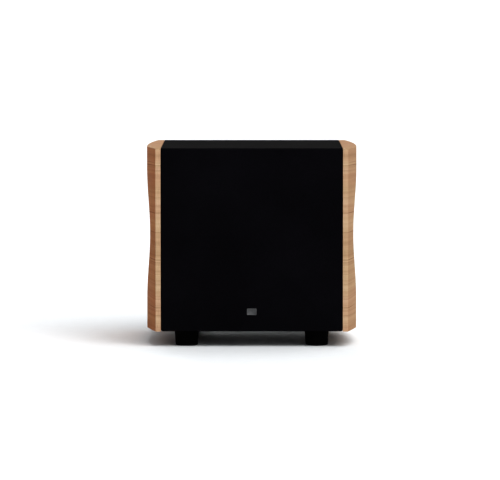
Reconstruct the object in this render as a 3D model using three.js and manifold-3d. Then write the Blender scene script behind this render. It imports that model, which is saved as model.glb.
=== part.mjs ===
// A cube subwoofer: a black sealed cabinet between two waisted hardwood cheeks, with a
// front-firing 10 inch driver behind a full-width cloth grille and a plate amplifier at the back.
// Millimetres, +Z up, front towards -Y. The origin is on the floor, midway between the outermost
// faces. In this file "depth" is the distance behind the front face of the cheeks.
import * as THREE from "three";
import { mergeVertices } from "three/addons/utils/BufferGeometryUtils.js";
import Module from "manifold-3d";

const wasm = await Module();
wasm.setup();

// Cabinet
const CABINET_W = 350; // black box between the cheeks
const CABINET_H = 353.2;
const CABINET_D = 370; // cheeks' front face to the rear panel's back
const FOOT_H = 29.7; // floor to the cabinet's underside
const WALL = 18; // board thickness
const BAFFLE_T = 22;
const GAP = 0.3; // clearance between pieces that touch
const CABINET_TOP = FOOT_H + CABINET_H;
const MIDDLE_Z = FOOT_H + CABINET_H / 2;
const INSIDE_X = CABINET_W / 2 - WALL; // inner face of a side wall
const INSIDE_BOTTOM = FOOT_H + WALL;
const INSIDE_TOP = CABINET_TOP - WALL;
const BRACE_DEPTH = 200;
const BRACE_WINDOW = 114; // side of each of its four windows
const BRACE_CROSS = 30; // width of the cross between them

// Side cheeks, as distances from the cabinet's middle plane
const STRIP_X = 185.3; // outer edge of the flat front strip
const FACET_SLOPE = 0.238; // the facet behind the strip leans outwards
const FACET_CURVE = 0.000435; // and curves in a little
const SIDE_X = 204.3; // widest point of the side face
const SIDE_PEAK_DEPTH = 140; // where that is
const SIDE_RADIUS = 1570;
const WAIST_Z = 214.2; // height of the narrowest point
const WAIST_HALF = 128; // the waist fades out this far above and below it
const WAIST_SHARE = 0.2; // share of the thickness that it takes away

// Grille
const CLOTH_DEPTH = 1; // the cloth lies this far behind the cheeks' front
const CLOTH_T = 0.7;
const FRAME_T = 12;
const GRILLE_MARGIN = 0.5; // between the grille and the cabinet's outline
const FRAME_WINDOW = 290;
const FRAME_CHAMFER = 60; // of the window's corners
const PEG_OFFSET = 142; // pegs, sideways and up or down from the middle
const PEG_R = 4;
const BAFFLE_DEPTH = 16;
const NAMEPLATE = { width: 19, height: 13, thickness: 0.7, z: 68.1 };

// Driver: depths here are measured from the baffle's front face
const FLANGE_R = 131;
const CUTOUT_R = 119.5;
const REBATE = 7.3;
const SPOKES = 6;
const CONE_R = 90;
const ROLL_MIDDLE_R = 100; // centre circle of the surround's half roll
const ROLL_R = 9;
const RUBBER_T = 1;
const FORMER_R = 26.4;
const TOP_PLATE_DEPTH = 74.3;
const TOP_PLATE_T = 8;
const MAGNET_T = 26;

// Plate amplifier: a plate on the rear panel's back
const PLATE_W = 210;
const PLATE_H = 270;
const PLATE_T = 3;
const REAR_CUTOUT_W = 186;
const REAR_CUTOUT_H = 246;
const REAR_REACH = 14.3; // heat sink and knobs stand this far behind the plate
const KNOB_Z = 4; // heights on the plate are from its middle
const LEVEL_X = 60;
const CROSSOVER_X = 12;
const PHASE_X = -38;
const AUTO_X = -72;
const JACK_Z = -50;
const JACKS = { left: 66, right: 42 };
const LED_X = 0;
const MAINS_Z = -98;
const INLET_X = -50;
const ROCKER_X = 20;
const ROCKER_TILT = 11; // degrees either side of level; modelled at "off"

// Feet
const FOOT_X = 126;
const FOOT_DEPTH = 46; // the front pair; the rear pair is as far from the back
const FOOT_R = 23.3;
const FOOT_R_BOTTOM = 21.7;
const PAD_H = 4;

const PLATE_DEPTH = CABINET_D + GAP;
const OVERALL_D = PLATE_DEPTH + PLATE_T + REAR_REACH;
const FRONT_Y = -OVERALL_D / 2;

const finish = (color, roughness, metalness = 0) => ({ color, roughness, metalness });
const FINISHES = {
  wood: finish(0xbe9674, 0.42),
  blackBoard: finish(0x141316, 0.5),
  rawBoard: finish(0x8a6a4a, 0.85),
  cloth: finish(0x0c0b0e, 0.95),
  blackPlastic: finish(0x161618, 0.55),
  rubber: finish(0x121212, 0.85),
  satinMetal: finish(0x858585, 0.35, 0.9),
  paper: finish(0x1b1b1d, 0.8),
  castFrame: finish(0x1c1c1f, 0.5, 0.4),
  copper: finish(0xb06a3c, 0.4, 0.9),
  amberCloth: finish(0xb98b46, 0.9),
  steel: finish(0x9a9a98, 0.45, 0.9),
  ferrite: finish(0x2b2b2d, 0.7),
  blackPlate: finish(0x1a1a1c, 0.45, 0.6),
  circuitGreen: finish(0x1f5a38, 0.6),
  nickel: finish(0xb9b7b0, 0.3, 0.9),
  redLens: finish(0x8a1512, 0.2),
};

const AXIS_X = new THREE.Vector3(1, 0, 0);
const AXIS_Y = new THREE.Vector3(0, 1, 0);
const AXIS_Z = new THREE.Vector3(0, 0, 1);

const subwoofer = new THREE.Group();

// ---- geometry helpers ----

// A closed mesh as a solid that can be joined and cut.
function toSolid(geometry) {
  const bare = new THREE.BufferGeometry();
  bare.setAttribute("position", geometry.getAttribute("position"));
  bare.setIndex(geometry.getIndex());
  const merged = mergeVertices(bare, 1e-4);
  return new wasm.Manifold(new wasm.Mesh({
    numProp: 3,
    vertProperties: merged.getAttribute("position").array,
    triVerts: Uint32Array.from(merged.getIndex().array),
  }));
}

function toGeometry(solid) {
  const { vertProperties, triVerts } = solid.getMesh();
  const geometry = new THREE.BufferGeometry();
  geometry.setAttribute("position", new THREE.BufferAttribute(vertProperties, 3));
  geometry.setIndex(new THREE.BufferAttribute(triVerts, 1));
  geometry.computeVertexNormals();
  return geometry;
}

function box([x0, y0, z0], [x1, y1, z1]) {
  const geometry = new THREE.BoxGeometry(x1 - x0, y1 - y0, z1 - z0);
  geometry.translate((x0 + x1) / 2, (y0 + y1) / 2, (z0 + z1) / 2);
  return toSolid(geometry);
}

// A profile of [radius, height] points, turned about the Y axis.
function turned(profile, segments = 32) {
  const points = profile.map(([radius, y]) => new THREE.Vector2(radius, y));
  if (THREE.ShapeUtils.isClockWise(points)) {
    points.reverse();
  }
  if (points[0].x > 0 && points.at(-1).x > 0) {
    points.push(points[0].clone());
  }
  return toSolid(new THREE.LatheGeometry(points, segments));
}

const rod = (radius, y0, y1, segments = 20) =>
  turned([[0, y0], [radius, y0], [radius, y1], [0, y1]], segments);

const ring = (inner, outer, y0, y1, segments = 32) =>
  turned([[inner, y0], [outer, y0], [outer, y1], [inner, y1]], segments);

const outline = (points) => new THREE.Shape(points.map(([x, y]) => new THREE.Vector2(x, y)));

// An outline in X and Z, made solid from y0 to y1.
function plate(shape, y0, y1) {
  const geometry = new THREE.ExtrudeGeometry(shape, { depth: y1 - y0, bevelEnabled: false });
  geometry.rotateX(Math.PI / 2);
  geometry.translate(0, y1, 0);
  return toSolid(geometry);
}

// An outline in X and Y, made solid from z0 to z1.
function upright(shape, z0, z1) {
  const geometry = new THREE.ExtrudeGeometry(shape, { depth: z1 - z0, bevelEnabled: false });
  geometry.translate(0, 0, z0);
  return toSolid(geometry);
}

// An outline in Y and Z, made solid from x0 to x1.
function alongX(shape, x0, x1) {
  const geometry = new THREE.ExtrudeGeometry(shape, { depth: x1 - x0, bevelEnabled: false });
  geometry.translate(0, 0, x0);
  geometry.applyMatrix4(new THREE.Matrix4().makeBasis(AXIS_Y, AXIS_Z, AXIS_X));
  return toSolid(geometry);
}

const moved = (solid, x, y, z) => solid.translate([x, y, z]);

function chamferedRectangle(width, height, chamfer) {
  const x = width / 2;
  const y = height / 2;
  return outline([
    [-x + chamfer, -y], [x - chamfer, -y], [x, -y + chamfer], [x, y - chamfer],
    [x - chamfer, y], [-x + chamfer, y], [-x, y - chamfer], [-x, -y + chamfer],
  ]);
}

// A skin round a stack of rings with the same number of points, with flat ends.
// Each ring runs anticlockwise seen from above.
function loft(rings) {
  const count = rings[0].length;
  const indices = [];
  for (let level = 0; level < rings.length - 1; level++) {
    for (let i = 0; i < count; i++) {
      const here = level * count + i;
      const next = level * count + (i + 1) % count;
      indices.push(here, next, next + count, here, next + count, here + count);
    }
  }
  const top = (rings.length - 1) * count;
  for (let i = 1; i < count - 1; i++) {
    indices.push(0, i + 1, i, top, top + i, top + i + 1);
  }
  const geometry = new THREE.BufferGeometry();
  geometry.setAttribute("position", new THREE.Float32BufferAttribute(rings.flat(2), 3));
  geometry.setIndex(indices);
  return toSolid(geometry);
}

function piece(group, name, solid, finishName, position = [0, 0, 0]) {
  const material = new THREE.MeshStandardMaterial(FINISHES[finishName]);
  const mesh = new THREE.Mesh(toGeometry(solid), material);
  mesh.name = name;
  mesh.position.set(...position);
  group.add(mesh);
  return mesh;
}

function assembly(x, y, z) {
  const group = new THREE.Group();
  group.position.set(x, y, z);
  subwoofer.add(group);
  return group;
}

// ---- cabinet ----

function cabinet() {
  const group = assembly(0, FRONT_Y, 0);
  const outer = CABINET_W / 2;
  const deep = [BAFFLE_DEPTH, CABINET_D];
  const innerX = INSIDE_X - GAP;
  const low = INSIDE_BOTTOM + GAP;
  const high = INSIDE_TOP - GAP;
  const topPanel = box([-outer, deep[0], INSIDE_TOP], [outer, deep[1], CABINET_TOP]);
  const bottomPanel = box([-outer, deep[0], FOOT_H], [outer, deep[1], INSIDE_BOTTOM]);
  piece(group, "top_panel", topPanel, "blackBoard");
  piece(group, "bottom_panel", bottomPanel, "blackBoard");
  piece(group, "left_wall", box([-outer, deep[0], low], [-INSIDE_X, deep[1], high]), "rawBoard");
  piece(group, "right_wall", box([INSIDE_X, deep[0], low], [outer, deep[1], high]), "rawBoard");

  const rearPanel = box([-innerX, CABINET_D - WALL, low], [innerX, CABINET_D, high]);
  const rearCutout = box(
    [-REAR_CUTOUT_W / 2, CABINET_D - 2 * WALL, MIDDLE_Z - REAR_CUTOUT_H / 2],
    [REAR_CUTOUT_W / 2, CABINET_D + WALL, MIDDLE_Z + REAR_CUTOUT_H / 2],
  );
  piece(group, "rear_panel", rearPanel.subtract(rearCutout), "blackBoard");

  let brace = box([-innerX, BRACE_DEPTH, low], [innerX, BRACE_DEPTH + WALL, high]);
  const windowShape = chamferedRectangle(BRACE_WINDOW, BRACE_WINDOW, 20);
  const windowOffset = (BRACE_CROSS + BRACE_WINDOW) / 2;
  for (const x of [-windowOffset, windowOffset]) {
    for (const z of [-windowOffset, windowOffset]) {
      const opening = plate(windowShape, BRACE_DEPTH - 1, BRACE_DEPTH + WALL + 1);
      brace = brace.subtract(moved(opening, x, 0, MIDDLE_Z + z));
    }
  }
  piece(group, "window_brace", brace, "rawBoard");

  let baffle = box(
    [-innerX, BAFFLE_DEPTH, low],
    [innerX, BAFFLE_DEPTH + BAFFLE_T, high],
  );
  baffle = baffle.subtract(moved(rod(CUTOUT_R, -1, BAFFLE_T + 1, 40), 0, BAFFLE_DEPTH, MIDDLE_Z));
  baffle = baffle.subtract(moved(rod(FLANGE_R + 1, -1, REBATE, 40), 0, BAFFLE_DEPTH, MIDDLE_Z));
  for (const [x, z] of pegPlaces()) {
    baffle = baffle.subtract(moved(rod(7.3, -1, 18, 16), x, BAFFLE_DEPTH, z));
  }
  piece(group, "front_baffle", baffle, "blackBoard");
}

// The cheek's outer face at a depth and height: the front facet, or the side where that is nearer.
function sideFace(depth, z) {
  const offAxis = (z - WAIST_Z) / WAIST_HALF;
  const waist = Math.abs(offAxis) < 1 ? Math.cos(offAxis * Math.PI / 2) ** 2 : 0;
  const full = SIDE_X - (depth - SIDE_PEAK_DEPTH) ** 2 / (2 * SIDE_RADIUS) - CABINET_W / 2;
  return CABINET_W / 2 + full * (1 - WAIST_SHARE * waist);
}

const facetFace = (depth) => STRIP_X + FACET_SLOPE * depth - FACET_CURVE * depth ** 2;

// The depth at which the facet meets the side face.
function creaseDepth(z) {
  let near = 0;
  let far = SIDE_PEAK_DEPTH;
  for (let step = 0; step < 30; step++) {
    const middle = (near + far) / 2;
    if (facetFace(middle) < sideFace(middle, z)) {
      near = middle;
    } else {
      far = middle;
    }
  }
  return near;
}

function cheek(side) {
  const heights = [FOOT_H];
  const waistSteps = 12;
  for (let step = 0; step <= waistSteps; step++) {
    heights.push(WAIST_Z - WAIST_HALF + 2 * WAIST_HALF * step / waistSteps);
  }
  heights.push(CABINET_TOP);
  const facetSteps = 4;
  const sideSteps = 7;
  const rings = heights.map((z) => {
    const crease = creaseDepth(z);
    const points = [[CABINET_W / 2 + GAP, 0]];
    for (let step = 0; step < facetSteps; step++) {
      const depth = crease * step / facetSteps;
      points.push([facetFace(depth), depth]);
    }
    for (let step = 0; step <= sideSteps; step++) {
      const depth = crease + (CABINET_D - crease) * step / sideSteps;
      points.push([sideFace(depth, z), depth]);
    }
    points.push([CABINET_W / 2 + GAP, CABINET_D]);
    const placed = points.map(([x, depth]) => [side * x, depth, z]);
    return side > 0 ? placed : placed.reverse();
  });
  return loft(rings);
}

function cheeks() {
  const group = assembly(0, FRONT_Y, 0);
  piece(group, "side_cheek_left", cheek(-1), "wood");
  piece(group, "side_cheek_right", cheek(1), "wood");
}

// ---- grille ----

function pegPlaces() {
  const offsets = [[-1, 1], [1, 1], [-1, -1], [1, -1]];
  return offsets.map(([x, z]) => [x * PEG_OFFSET, MIDDLE_Z + z * PEG_OFFSET]);
}

function grille() {
  const group = assembly(0, FRONT_Y, 0);
  const clothX = CABINET_W / 2 - GRILLE_MARGIN;
  const clothLow = FOOT_H + GRILLE_MARGIN;
  const clothHigh = CABINET_TOP - GRILLE_MARGIN;
  const frameFront = CLOTH_DEPTH + CLOTH_T + GAP;
  const frameBack = frameFront + FRAME_T;
  const inset = CLOTH_T + GAP;

  let frame = box(
    [-clothX + inset, frameFront, clothLow + inset],
    [clothX - inset, frameBack, clothHigh - inset],
  );
  const windowShape = chamferedRectangle(FRAME_WINDOW, FRAME_WINDOW, FRAME_CHAMFER);
  frame = frame.subtract(moved(plate(windowShape, 0, frameBack + 1), 0, 0, MIDDLE_Z));
  for (const [x, z] of pegPlaces()) {
    frame = frame.subtract(moved(rod(4.8, frameBack - 8, frameBack + 1, 16), x, 0, z));
  }
  piece(group, "grille_frame", frame, "blackPlastic");

  const clothOuter = box([-clothX, CLOTH_DEPTH, clothLow], [clothX, frameBack - GAP, clothHigh]);
  const clothInner = box(
    [-clothX + CLOTH_T, CLOTH_DEPTH + CLOTH_T, clothLow + CLOTH_T],
    [clothX - CLOTH_T, frameBack + 1, clothHigh - CLOTH_T],
  );
  piece(group, "grille_cloth", clothOuter.subtract(clothInner), "cloth");

  const { width, height, thickness, z: plateZ } = NAMEPLATE;
  const blank = plate(chamferedRectangle(width, height, 1.5), 0, thickness);
  piece(group, "nameplate", blank, "satinMetal", [0, 0, plateZ]);

  const pegProfile = [
    [0, -7.7], [4.5, -7.7], [4.5, 0], [3.2, 0.6], [3.2, 8],
    [PEG_R, 10], [PEG_R, 13.5], [2.2, 15.5], [0, 15.5],
  ];
  const bore = PEG_R + GAP;
  const socketProfile = [
    [bore, -1.3], [8.6, -1.3], [8.6, -0.3], [7, -0.3],
    [7, 17.5], [0, 17.5], [0, 15.7], [bore, 15.7],
  ];
  pegPlaces().forEach(([x, z], index) => {
    const peg = turned(pegProfile, 12);
    const socket = turned(socketProfile, 12);
    piece(group, `grille_peg_${index + 1}`, peg, "blackPlastic", [x, frameBack, z]);
    piece(group, `peg_socket_${index + 1}`, socket, "rubber", [x, BAFFLE_DEPTH, z]);
  });
}

// ---- driver ----

// Points on an arc of the surround's roll, from one angle to another in degrees.
function rollArc(radius, from, to, steps) {
  const points = [];
  for (let step = 0; step <= steps; step++) {
    const angle = THREE.MathUtils.degToRad(from + (to - from) * step / steps);
    points.push([ROLL_MIDDLE_R + radius * Math.cos(angle), 3.2 - radius * Math.sin(angle)]);
  }
  return points;
}

function surroundProfile() {
  return [
    [85.5, 1.7], ...rollArc(ROLL_R + RUBBER_T / 2, 171, -4, 6), [113.2, 3.9],
    [113.2, 4.9], ...rollArc(ROLL_R - RUBBER_T / 2, -11.5, 176.5, 6), [85.5, 2.7],
  ];
}

function domeProfile(radius, peak, rise, thickness, steps) {
  const front = [];
  for (let step = 0; step <= steps; step++) {
    const share = step / steps;
    front.push([radius * share, peak + rise * share ** 2]);
  }
  const back = front.map(([r, y]) => [r, y + thickness]).reverse();
  return [...front, ...back];
}

function spiderProfile() {
  const waves = 6;
  const inner = 30;
  const outer = 62;
  const front = [[FORMER_R + GAP, 60.8]];
  for (let step = 0; step <= waves; step++) {
    const lift = step % 2 === 0 ? 0 : -2.4;
    front.push([inner + (outer - inner) * step / waves, 60.8 + lift]);
  }
  front.push([69.8, 60.8]);
  const back = front.map(([r, y]) => [r, y + 0.8]).reverse();
  return [...front, ...back];
}

function driver() {
  const group = assembly(0, FRONT_Y + BAFFLE_DEPTH, MIDDLE_Z);
  let basket = turned([
    [114, 1], [FLANGE_R, 1], [FLANGE_R, 6], [119, 6], [117, 11], [76, 68], [76, 74], [36, 74], [36, 70],
    [62, 70], [62, 62], [70.5, 62], [108, 11], [107, 8], [107, 5.2], [114, 5.2],
  ], 30);
  const windowHalf = THREE.MathUtils.degToRad(22);
  const near = 60;
  const far = 125;
  const wedge = plate(outline([
    [-near * Math.tan(windowHalf), near], [-far * Math.tan(windowHalf), far],
    [far * Math.tan(windowHalf), far], [near * Math.tan(windowHalf), near],
  ].reverse()), 22, 60);
  for (let spoke = 0; spoke < SPOKES; spoke++) {
    basket = basket.subtract(wedge.rotate([0, (spoke + 0.5) * 360 / SPOKES, 0]));
  }
  piece(group, "driver_basket", basket, "castFrame");
  piece(group, "driver_gasket", ring(120.5, FLANGE_R, 6.3, REBATE - GAP), "rubber");
  piece(group, "surround", turned(surroundProfile(), 30), "rubber");

  const neck = FORMER_R + GAP;
  piece(group, "cone", turned([
    [neck, 44], [84, 3], [CONE_R, 3], [CONE_R, 4.4], [84.6, 4.4], [neck, 46],
  ], 32), "paper");
  piece(group, "dust_cap", turned(domeProfile(38, 24, 10.4, 1, 4), 26), "paper");
  piece(group, "coil_former", ring(FORMER_R - 0.6, FORMER_R, 42, 90, 24), "amberCloth");
  piece(group, "voice_coil", ring(FORMER_R + GAP, 28.3, 66, 90, 24), "copper");
  piece(group, "spider", turned(spiderProfile(), 26), "amberCloth");

  const magnetDepth = TOP_PLATE_DEPTH + TOP_PLATE_T + GAP;
  const yokeDepth = magnetDepth + MAGNET_T + GAP;
  piece(group, "top_plate", ring(29.4, 62, TOP_PLATE_DEPTH, TOP_PLATE_DEPTH + TOP_PLATE_T), "steel");
  piece(group, "magnet", ring(34, 70, magnetDepth, magnetDepth + MAGNET_T), "ferrite");
  piece(group, "pole_yoke", turned([
    [9, TOP_PLATE_DEPTH], [24.8, TOP_PLATE_DEPTH], [24.8, yokeDepth], [60, yokeDepth],
    [60, yokeDepth + 8], [9, yokeDepth + 8],
  ]), "steel");

  let terminals = box([-14, 50, -98], [14, 66, -90]);
  for (const x of [-8, 8]) {
    terminals = terminals.add(box([x - 2.4, 60, -95], [x + 2.4, 74, -94]));
  }
  piece(group, "terminal_block", terminals, "blackPlastic");
}

// The lead from the amplifier's board, through a brace window, to the driver's terminals.
function speakerLead() {
  const group = assembly(0, FRONT_Y, 0);
  const route = new THREE.CatmullRomCurve3([
    new THREE.Vector3(60, 337, 196),
    new THREE.Vector3(60, 312, 185),
    new THREE.Vector3(63, 284, 159),
    new THREE.Vector3(67, 250, 134),
    new THREE.Vector3(66, 215, 118),
    new THREE.Vector3(55, 178, 108),
    new THREE.Vector3(35, 143, 104),
    new THREE.Vector3(14, 115, 107),
    new THREE.Vector3(0, 92, 111.8),
  ]);
  const section = new THREE.Shape().absarc(0, 0, 2.6, 0, 2 * Math.PI);
  const geometry = new THREE.ExtrudeGeometry(section, {
    steps: 28,
    curveSegments: 4,
    extrudePath: route,
  });
  piece(group, "speaker_lead", toSolid(geometry), "blackPlastic");
}

// ---- amplifier ----

// Depths here are measured from the plate's outer face, so what is inside is negative.
function amplifier() {
  const group = assembly(0, FRONT_Y + PLATE_DEPTH + PLATE_T, MIDDLE_Z);
  const hole = (radius, x, z) => moved(rod(radius, -PLATE_T - 1, 1, 20), x, 0, z);
  const slot = (width, height, x, z) =>
    box([x - width / 2, -PLATE_T - 1, z - height / 2], [x + width / 2, 1, z + height / 2]);
  const cutouts = [
    hole(4.9, LEVEL_X, KNOB_Z), hole(4.9, CROSSOVER_X, KNOB_Z),
    hole(5.3, JACKS.left, JACK_Z), hole(5.3, JACKS.right, JACK_Z), hole(1.9, LED_X, JACK_Z),
    slot(9, 4, PHASE_X, KNOB_Z), slot(9, 4, AUTO_X, KNOB_Z),
    slot(28.6, 46.6, INLET_X, MAINS_Z), slot(14.6, 21.6, ROCKER_X, MAINS_Z),
  ];
  let face = plate(chamferedRectangle(PLATE_W, PLATE_H, 4), -PLATE_T, 0);
  for (const cutout of cutouts) {
    face = face.subtract(cutout);
  }
  piece(group, "amp_plate", face, "blackPlate");
  heatSink(group);
  controls(group);
  mains(group);
  electronics(group);
}

function heatSink(group) {
  const width = 176;
  const fins = 14;
  const finT = 3;
  const base = 4;
  const pitch = (width - finT) / (fins - 1);
  const points = [[-width / 2, GAP], [width / 2, GAP]];
  for (let fin = fins - 1; fin >= 0; fin--) {
    const x = -width / 2 + fin * pitch;
    points.push([x + finT, REAR_REACH], [x, REAR_REACH]);
    if (fin > 0) {
      points.push([x, base], [x - pitch + finT, base]);
    }
  }
  piece(group, "heat_sink", upright(outline(points), 34, 122), "blackPlate");
}

function controls(group) {
  const knobProfile = [
    [0, -15], [3, -15], [3, 0.7], [11, 0.7], [11, 3], [9.6, 4.2], [9.2, REAR_REACH - 1.2],
    [8, REAR_REACH], [0, REAR_REACH],
  ];
  const knob = turned(knobProfile, 24).add(box([-0.9, 6, 4], [0.9, REAR_REACH - 1, 10.2]));
  const pot = box([-8, -17, -8], [8, -7, 8]).add(rod(4.5, -8, -0.6)).subtract(rod(3.3, -15.4, 1));
  for (const [name, x] of [["level", LEVEL_X], ["crossover", CROSSOVER_X]]) {
    piece(group, `${name}_knob`, knob, "blackPlastic", [x, 0, KNOB_Z]);
    piece(group, `${name}_pot`, pot, "steel", [x, 0, KNOB_Z]);
  }

  // Each slider stands at the left end of its slot.
  const slider = box([-4.2, -3, -1.6], [-0.8, 2.4, 1.6])
    .add(box([-4.2, -6, -3.2], [-0.8, -3.3, 3.2]))
    .add(box([-4.2, -3.5, -1.6], [-0.8, -2.9, 1.6]));
  piece(group, "phase_switch", slider, "blackPlastic", [PHASE_X, 0, KNOB_Z]);
  piece(group, "auto_switch", slider, "blackPlastic", [AUTO_X, 0, KNOB_Z]);

  const jackProfile = [
    [1.7, 11], [4.15, 11], [4.15, 2.6], [6.4, 2.6], [6.4, GAP],
    [5, GAP], [5, -14], [0, -14], [0, 1], [1.7, 1],
  ];
  for (const [name, x] of Object.entries(JACKS)) {
    piece(group, `line_jack_${name}`, turned(jackProfile, 20), "nickel", [x, 0, JACK_Z]);
  }
  const lens = turned([[0, -6], [1.6, -6], [1.6, 0.6], [1, 1.4], [0, 1.6]], 16);
  piece(group, "power_led", lens, "redLens", [LED_X, 0, JACK_Z]);
}

function mains(group) {
  let inlet = box([-16, GAP, -25], [16, 2.6, 25]);
  inlet = inlet.add(box([-14, -26, -23], [14, 1, 23]));
  const cavity = plate(outline([
    [-12.2, -8.2], [12.2, -8.2], [12.2, 4], [8, 8.2], [-8, 8.2], [-12.2, 4],
  ]), -16, 3);
  inlet = inlet.subtract(moved(cavity, 0, 0, 11));
  inlet = inlet.subtract(box([-11, -22, -19], [11, 3, -9]));
  for (const [x, z] of [[-7, 9], [7, 9], [0, 13]]) {
    inlet = inlet.add(box([x - 1, -17, z - 2], [x + 1, -2, z + 2]));
  }
  piece(group, "mains_inlet", inlet, "blackPlastic", [INLET_X, 0, MAINS_Z]);

  let drawer = box([-10.6, -20, -18.6], [10.6, 2.4, -9.4]);
  drawer = drawer.add(box([-12, 2.9, -19.6], [12, 4.4, -8.4]));
  drawer = drawer.add(box([-10.6, 2, -18.6], [10.6, 3, -9.4]));
  drawer = drawer.subtract(box([-8, -18, -16.6], [8, -2, -8]));
  piece(group, "fuse_drawer", drawer, "blackPlastic", [INLET_X, 0, MAINS_Z]);

  let housing = box([-9, GAP, -12.5], [9, 2.2, 12.5]).add(box([-7, -18, -10.5], [7, 1, 10.5]));
  housing = housing.subtract(box([-5.8, -12, -9.4], [5.8, 3, 9.4]));
  piece(group, "switch_housing", housing, "blackPlastic", [ROCKER_X, 0, MAINS_Z]);
  const rockerSide = outline([
    [-6, -2], [-2.4, -8.4], [2.2, -8.4], [0.4, 0], [2.2, 8.4], [-2.4, 8.4], [-6, 2],
  ]);
  const rocker = alongX(rockerSide, -5.5, 5.5).rotate([-ROCKER_TILT, 0, 0]);
  piece(group, "power_rocker", rocker, "blackPlastic", [ROCKER_X, 0, MAINS_Z]);
}

function electronics(group) {
  piece(group, "circuit_board", box([-82, -35, -14], [82, -33.4, 112]), "circuitGreen");
  for (const [index, x] of [-46, -8].entries()) {
    piece(group, `capacitor_${index + 1}`, rod(15, -75, -35 - GAP, 20), "blackPlastic", [x, 0, 70]);
  }
  const toroid = turned([
    [15, 6], [21, 0], [40, 0], [48, 9], [48, 33], [40, 42], [21, 42], [15, 36],
  ], 28);
  const transformer = piece(group, "transformer", toroid, "amberCloth");
  transformer.rotation.x = Math.PI / 2;
  transformer.position.set(-60, -94, INSIDE_BOTTOM + GAP - MIDDLE_Z);
}

// ---- feet ----

function feet() {
  const rearDepth = CABINET_D - FOOT_DEPTH;
  const footProfile = [
    [0, PAD_H + GAP], [FOOT_R_BOTTOM, PAD_H + GAP], [FOOT_R, FOOT_H - GAP], [0, FOOT_H - GAP],
  ];
  const padProfile = [
    [0, 0], [FOOT_R_BOTTOM - 1.4, 0], [FOOT_R_BOTTOM - 0.3, 1.2],
    [FOOT_R_BOTTOM - 0.2, PAD_H], [0, PAD_H],
  ];
  for (const [row, depth] of [["front", FOOT_DEPTH], ["rear", rearDepth]]) {
    for (const [side, x] of [["left", -FOOT_X], ["right", FOOT_X]]) {
      const group = assembly(x, FRONT_Y + depth, 0);
      group.rotation.x = Math.PI / 2;
      piece(group, `foot_${row}_${side}`, turned(footProfile, 24), "blackPlastic");
      piece(group, `foot_pad_${row}_${side}`, turned(padProfile, 24), "rubber");
    }
  }
}

cabinet();
cheeks();
grille();
driver();
speakerLead();
amplifier();
feet();

export default subwoofer;
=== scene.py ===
"""Looks for the powered subwoofer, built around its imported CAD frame.

Everything is in metres in the CAD frame: +Z up, the grille faces -Y, origin on the floor.
"""
import math

import bmesh
import bpy
from mathutils import Matrix, Vector
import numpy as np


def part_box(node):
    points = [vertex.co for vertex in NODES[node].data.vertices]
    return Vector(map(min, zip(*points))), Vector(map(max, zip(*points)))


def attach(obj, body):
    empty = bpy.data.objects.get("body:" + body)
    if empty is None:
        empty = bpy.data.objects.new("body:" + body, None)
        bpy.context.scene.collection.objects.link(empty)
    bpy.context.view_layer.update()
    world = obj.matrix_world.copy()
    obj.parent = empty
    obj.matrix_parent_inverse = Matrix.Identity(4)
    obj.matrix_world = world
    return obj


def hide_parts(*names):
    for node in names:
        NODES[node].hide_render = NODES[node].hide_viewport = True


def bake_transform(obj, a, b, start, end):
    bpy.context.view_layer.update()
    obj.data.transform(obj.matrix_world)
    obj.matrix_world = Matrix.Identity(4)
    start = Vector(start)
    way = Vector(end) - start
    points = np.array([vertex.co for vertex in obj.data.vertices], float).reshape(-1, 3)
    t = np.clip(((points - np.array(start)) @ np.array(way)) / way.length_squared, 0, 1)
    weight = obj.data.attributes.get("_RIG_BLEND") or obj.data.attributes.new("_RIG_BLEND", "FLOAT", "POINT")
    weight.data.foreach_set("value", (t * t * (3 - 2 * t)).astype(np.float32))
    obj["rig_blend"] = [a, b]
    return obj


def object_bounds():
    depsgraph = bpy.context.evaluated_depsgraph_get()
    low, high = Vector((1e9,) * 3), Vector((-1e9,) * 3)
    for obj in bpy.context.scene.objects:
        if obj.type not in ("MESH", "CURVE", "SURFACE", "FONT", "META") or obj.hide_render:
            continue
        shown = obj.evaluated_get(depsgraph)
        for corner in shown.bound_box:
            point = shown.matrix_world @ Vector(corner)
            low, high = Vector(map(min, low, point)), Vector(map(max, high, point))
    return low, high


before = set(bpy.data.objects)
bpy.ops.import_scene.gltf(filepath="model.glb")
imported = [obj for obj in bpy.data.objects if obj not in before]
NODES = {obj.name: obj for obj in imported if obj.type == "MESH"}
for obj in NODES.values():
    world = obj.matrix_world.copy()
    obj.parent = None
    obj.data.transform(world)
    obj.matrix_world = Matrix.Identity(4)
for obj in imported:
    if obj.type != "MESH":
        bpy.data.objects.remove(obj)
CAD_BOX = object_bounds()
MM = 0.001
TURN = 2 * math.pi

# ---- places and sizes read from the frame ----


def centre(node):
    low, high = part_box(node)
    return (low + high) / 2


def size(node):
    low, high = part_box(node)
    return high - low


FRONT_Y = CAD_BOX[0].y
BAFFLE_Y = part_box("front_baffle")[0].y
PLATE_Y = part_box("amp_plate")[1].y
MIDDLE = centre("front_baffle")

# ---- mesh helpers ----


def place(obj, body, replaces=()):
    """Makes a new piece ride on its body, and hides the nodes it stands for."""
    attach(obj, body)
    if replaces:
        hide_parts(*replaces)
    return obj


def new_object(name, verts, faces, material):
    """A smooth shaded mesh object, its faces all turned outwards."""
    mesh = bpy.data.meshes.new(name)
    mesh.from_pydata([tuple(v) for v in verts], [], faces)
    mesh.validate()
    tidy = bmesh.new()
    tidy.from_mesh(mesh)
    bmesh.ops.recalc_face_normals(tidy, faces=tidy.faces)
    tidy.to_mesh(mesh)
    tidy.free()
    mesh.shade_smooth()
    mesh.materials.append(material)
    obj = bpy.data.objects.new(name, mesh)
    bpy.context.scene.collection.objects.link(obj)
    return obj


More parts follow.
